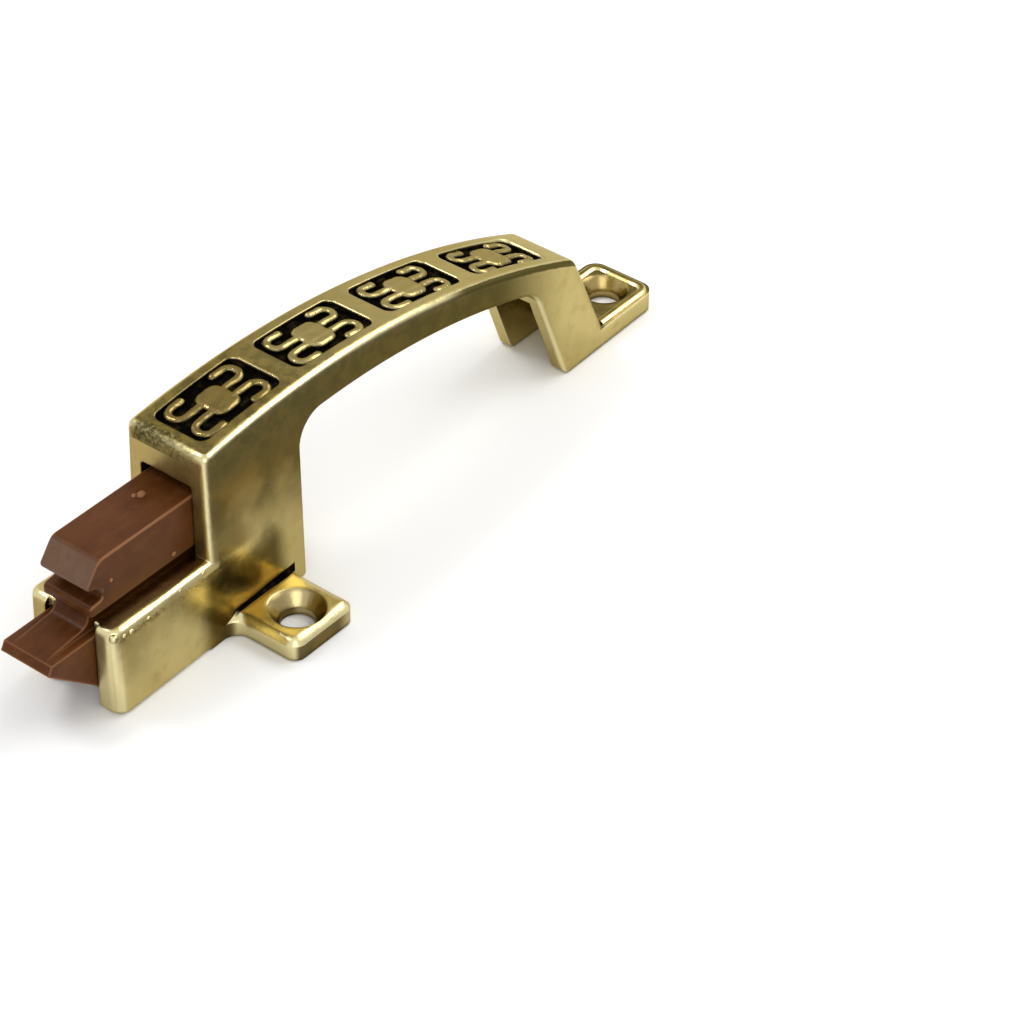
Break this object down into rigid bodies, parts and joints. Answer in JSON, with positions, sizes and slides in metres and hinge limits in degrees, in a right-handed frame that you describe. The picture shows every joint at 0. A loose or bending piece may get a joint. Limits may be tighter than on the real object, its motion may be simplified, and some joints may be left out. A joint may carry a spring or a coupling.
{
  "type": "cupboard handle catch",
  "caption": "Arched brass cupboard handle with a sprung brown thumb catch sliding in its end, screw ears and a far foot that screw to the door.",
  "frame": {"origin": "on the door face, under the middle of the whole part", "axes": "+X along the handle from the nose of the catch to the far foot, +Z out of the door, +Y across the handle"},
  "size_m": [0.1288, 0.0374, 0.032],
  "materials": {
    "antique_brass": "polished, with dark patina in the sunk panels",
    "brown_plastic": "satin moulding",
    "spring_steel": "drawn wire",
    "plate_steel": "zinc-plated sheet"
  },
  "bodies": {
    "handle": {"handle_body": "antique_brass", "base_plate": "plate_steel", "return_spring": "spring_steel"},
    "slide": {"catch_slide": "brown_plastic"}
  },
  "joints": [
    {"name": "catch_travel", "type": "slide", "parent": "handle", "child": "slide", "axis": [1, 0, 0], "range_m": [0, 0.008], "stiffness_N_per_m": 300, "springref_m": -0.006, "deforming": ["return_spring"]}
  ]
}
